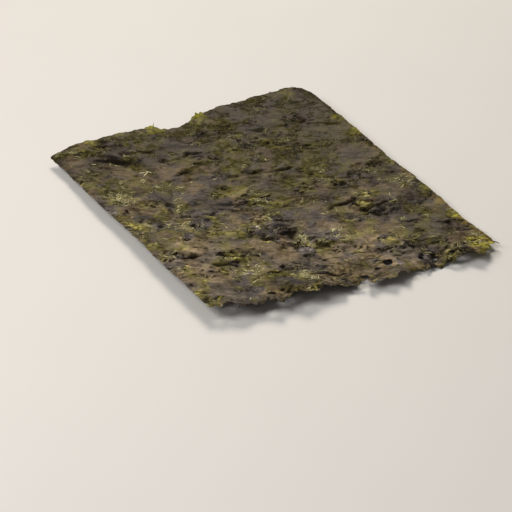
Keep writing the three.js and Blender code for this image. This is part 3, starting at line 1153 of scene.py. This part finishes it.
# Small shreds of laver that lie on the sheet, in millimetres. A size is its least, its most and a power.
shreds = {
    "seed": 61,
    "count": 6900,
    "length": (0.6, 3.0, 2.5),
    "width": (0.13, 0.42, 1.5),
    "thick": 0.07,
    "rise": (0, 0.22, 3),  # of a loose end
    "tone": (0, 0.95, 0.7),
    "toneTufts": (0.3, 1),  # shares of the tone outside and inside tufts
    "toneCrisp": (0.45, 0.95),
    "turn": 0.8,  # spread of the heading about the grain, in radians
    "bend": 0.8,  # most turn from the middle to an end, in radians
    "anchor": 0.5,  # share of the length that lies before its place
    "smallTufts": 0.6,  # weight of the small tufts beside the fuzzy parts
    "groundPower": 1.5,  # how strongly shreds keep to the fibrous ground
    "stray": 0.1,  # weight of shreds off the ground and off the tufts
    "rim": 0.6,  # least distance from the border
    "foldLoss": 20,  # how far folds are left bare
    "paleTone": 0.93,
    # pale torn bits: place and length
    "paleBits": (
        (-25.6, 28.7, 3.2), (-24.4, 29.3, 2.2), (-26.3, 29.9, 2.4), (-27.4, -44.8, 2.4), (-7.6, 16.7, 1.8),
        (-41.0, 46.4, 1.7), (-26.2, -37.4, 1.8), (6.8, -31.7, 2.2), (-23.8, -39.4, 2.0), (-25.2, -40.2, 1.8),
        (-37.8, 40.9, 1.5),
    ),
}


def makeShreds(material):
    # short bent ribbons thrown over the fibrous parts, most in tufts and few in folds
    chance = np.random.default_rng(shreds["seed"])
    tufts = fuzz + shreds["smallTufts"] * patch("tuft")
    ground = np.clip(olive, 0, 1) ** shreds["groundPower"] + shreds["stray"]
    weight = ground * (inside > shreds["rim"]) * (shreds["stray"] + tufts)
    weight /= 1 + shreds["foldLoss"] * foldShade
    picked = pickPoints(chance, shreds, weight)
    x = gridX.ravel()[picked] + chance.uniform(-0.5, 0.5, len(picked)) * cell
    y = gridY.ravel()[picked] + chance.uniform(-0.5, 0.5, len(picked)) * cell
    throw = thrown(chance, shreds, x, y, math.radians(relief["grain"]))
    throw["tone"] *= mixed(shreds["toneTufts"], np.minimum(tufts.ravel()[picked], 1))
    # shreds darker towards the soft back, a painted falloff of light
    throw["tone"] *= mixed(shreds["toneCrisp"], crisp.ravel()[picked])
    setFirst(throw, ("x", "y", "length"), shreds["paleBits"])
    pale = slice(len(shreds["paleBits"]))
    throw["width"][pale] = shreds["width"][1]
    throw["tone"][pale] = shreds["paleTone"]
    laidRibbons("laverShreds", throw, shreds, material)


# Colours of the loose laver, and what all of it shares
shredFinish = {
    "dark": (0.024, 0.020, 0.006),
    "middle": (0.128, 0.115, 0.050),
    "bright": (0.54, 0.50, 0.25),
    "straw": (0.62, 0.57, 0.36),
}
fibreFinish = {
    "dark": (0.020, 0.017, 0.004),
    "middle": (0.12, 0.11, 0.014),
    "bright": (0.36, 0.33, 0.03),
    "straw": (0.50, 0.46, 0.12),
}
looseFinish = {
    "stops": ((0.0, "dark"), (0.45, "middle"), (0.85, "bright"), (1.0, "straw")),  # tone of each colour
    "streakNoise": (0.6, 2),  # lump in millimetres, and detail
    "streaks": (0.35, 0.7, 0, 0.35),  # levels between which dark streaks come in, and their shares
    "roughness": 0.5,
}


def makeLooseLaver(name, finish):
    # each shred has a tone of its own, from dark olive to pale straw, and dark streaks
    material, tree, shader = newMaterial(name)
    colours = addNode(tree, "ShaderNodeValToRGB")
    stops = looseFinish["stops"]
    while len(colours.color_ramp.elements) < len(stops):
        colours.color_ramp.elements.new(0.5)
    for element, (place, colour) in zip(colours.color_ramp.elements, stops):
        element.position = place
        element.color = (*finish[colour], 1)
    tree.links.new(readAttribute(tree, "tone"), colours.inputs["Fac"])
    streak = rangeNode(tree, noiseNode(tree, *looseFinish["streakNoise"]), *looseFinish["streaks"])
    streaked = mixColour(tree, streak, colours.outputs["Color"], finish["dark"])
    tree.links.new(streaked, shader.inputs["Base Color"])
    shader.inputs["Roughness"].default_value = looseFinish["roughness"]
    setShine(shader)
    return material


makeShreds(makeLooseLaver("shredLaver", shredFinish))

# Torn fibres that stand out of the edges, in millimetres, with sizes as for the shreds
fibres = {
    "seed": 71,
    "count": 110,
    "length": (0.8, 2.6, 2),
    "width": (0.12, 0.3, 1),
    "thick": 0.08,
    "rise": (-0.2, 0.5, 1),
    "tone": (0, 0.8, 1),
    "turn": 0.7,  # spread of the heading about straight out, in radians
    "bend": 0.7,
    "anchor": 0.1,
    "raggedReach": 4.0,  # how far from the ragged edge and the front right corner they grow
    "cornerReach": 9.0,
    "root": (0.15, 0.5),  # least and most distance from the border
    # flaps and sprouts at the tear's ends, strands at a corner: place, heading, length, width, rise, tone
    "tufts": (
        (-11.9, 52.2, 90, 1.4, 2.2, 0.4, 0.72),
        (-13.6, 52.0, 95, 1.2, 1.8, 0.2, 0.62),
        (-11.2, 51.8, 80, 1.2, 0.3, 1.6, 0.75),
        (5.0, 51.6, 105, 1.9, 1.9, 1.0, 0.78),
        (6.4, 52.0, 90, 1.5, 1.6, 0.5, 0.66),
        (4.6, 51.8, 165, 2.2, 0.35, 1.3, 0.80),
        (44.6, -57.4, -80, 3.6, 0.4, 0.3, 0.02),
        (44.2, -57.0, -65, 2.8, 0.3, 0.1, 0.10),
    ),
}


def makeFibres(material):
    # thin ribbons rooted just inside the ragged edge and pointing out of the sheet, the first in set places
    chance = np.random.default_rng(fibres["seed"])
    slopeY, slopeX = np.gradient(inside, cell)
    ragged = (edges["front"] < fibres["raggedReach"]) | (cornerDistance < fibres["cornerReach"])
    nearest, furthest = fibres["root"]
    picked = pickPoints(chance, fibres, ragged * (inside > nearest) * (inside < furthest))
    outward = np.arctan2(-slopeY, -slopeX).ravel()[picked]
    throw = thrown(chance, fibres, gridX.ravel()[picked], gridY.ravel()[picked], outward)
    tufts = np.array(fibres["tufts"])
    tufts[:, 2] = np.radians(tufts[:, 2])
    setFirst(throw, ("x", "y", "turn", "length", "width", "rise", "tone"), tufts)
    laidRibbons("edgeFibres", throw, fibres, material)


makeFibres(makeLooseLaver("fibreLaver", fibreFinish))

# Floor, light and camera
studio = {
    "floorSize": 3.0,  # metres
    "floorDrop": 0.02,  # millimetres below the sheet
    "floorColour": (0.72, 0.71, 0.70),
    "floorShade": 0.97,  # brightness of its faint clouds beside the rest
    "floorNoise": (40, 2),  # lump in millimetres, and detail
    "floorRoughness": 0.7,
    "world": (0.57, 0.56, 0.54),
    "worldStrength": 0.28,
    # place in metres, size in metres, power in watts and colour
    "backSoftbox": ((0.34, 0.66, 0.74), 0.4, 7.2, (1.0, 0.92, 0.80)),
    "leftSoftbox": ((-0.43, 0.02, 0.43), 0.32, 2.4, (1.0, 0.97, 0.93)),
    "lens": 112.5,
    "sensor": 36.0,
    "azimuth": -29.3,
    "elevation": 31.8,
    "distance": 458.0,  # millimetres
    "aim": (-20.2, -32.2, 2.75),
}


def makeFloor():
    # a square of pale board, a hair below the sheet
    half = studio["floorSize"] / 2
    mesh = bpy.data.meshes.new("floor")
    level = -studio["floorDrop"] * mm
    corners = [(-half, -half, level), (half, -half, level), (half, half, level), (-half, half, level)]
    mesh.from_pydata(corners, [], [(0, 1, 2, 3)])
    material, tree, shader = newMaterial("paleFloor")
    colour = studio["floorColour"]
    darker = tuple(studio["floorShade"] * part for part in colour)
    clouded = mixColour(tree, noiseNode(tree, *studio["floorNoise"]), colour, darker)
    tree.links.new(clouded, shader.inputs["Base Color"])
    shader.inputs["Roughness"].default_value = studio["floorRoughness"]
    mesh.materials.append(material)
    floor = bpy.data.objects.new("floor", mesh)
    bpy.context.scene.collection.objects.link(floor)


def addLight(name):
    # a square soft light turned to the origin
    place, size, power, colour = studio[name]
    light = bpy.data.lights.new(name, "AREA")
    light.size = size
    light.energy = power
    light.color = colour
    lamp = bpy.data.objects.new(name, light)
    lamp.location = place
    lamp.rotation_euler = Vector(place).to_track_quat("Z", "Y").to_euler()
    bpy.context.scene.collection.objects.link(lamp)


def makeCamera():
    # level camera on a long lens, at an azimuth and elevation from its aim
    turn, tilt = math.radians(studio["azimuth"]), math.radians(studio["elevation"])
    back = Vector((math.sin(turn) * math.cos(tilt), -math.cos(turn) * math.cos(tilt), math.sin(tilt)))
    aim = Vector(studio["aim"]) + Vector((shift[0], shift[1], 0))
    data = bpy.data.cameras.new("camera")
    data.lens = studio["lens"]
    data.sensor_width = studio["sensor"]
    camera = bpy.data.objects.new("camera", data)
    camera.location = (aim + back * studio["distance"]) * mm
    camera.rotation_euler = back.to_track_quat("Z", "Y").to_euler()
    bpy.context.scene.collection.objects.link(camera)
    bpy.context.scene.camera = camera


def makeWorld():
    # even light from all round
    world = bpy.data.worlds.new("studio")
    world.use_nodes = True
    background = world.node_tree.nodes["Background"]
    background.inputs["Color"].default_value = (*studio["world"], 1)
    background.inputs["Strength"].default_value = studio["worldStrength"]
    bpy.context.scene.world = world


makeFloor()
addLight("backSoftbox")
addLight("leftSoftbox")
makeWorld()
bpy.context.scene.view_settings.view_transform = "Standard"
makeCamera()
print("floor, light and camera set")
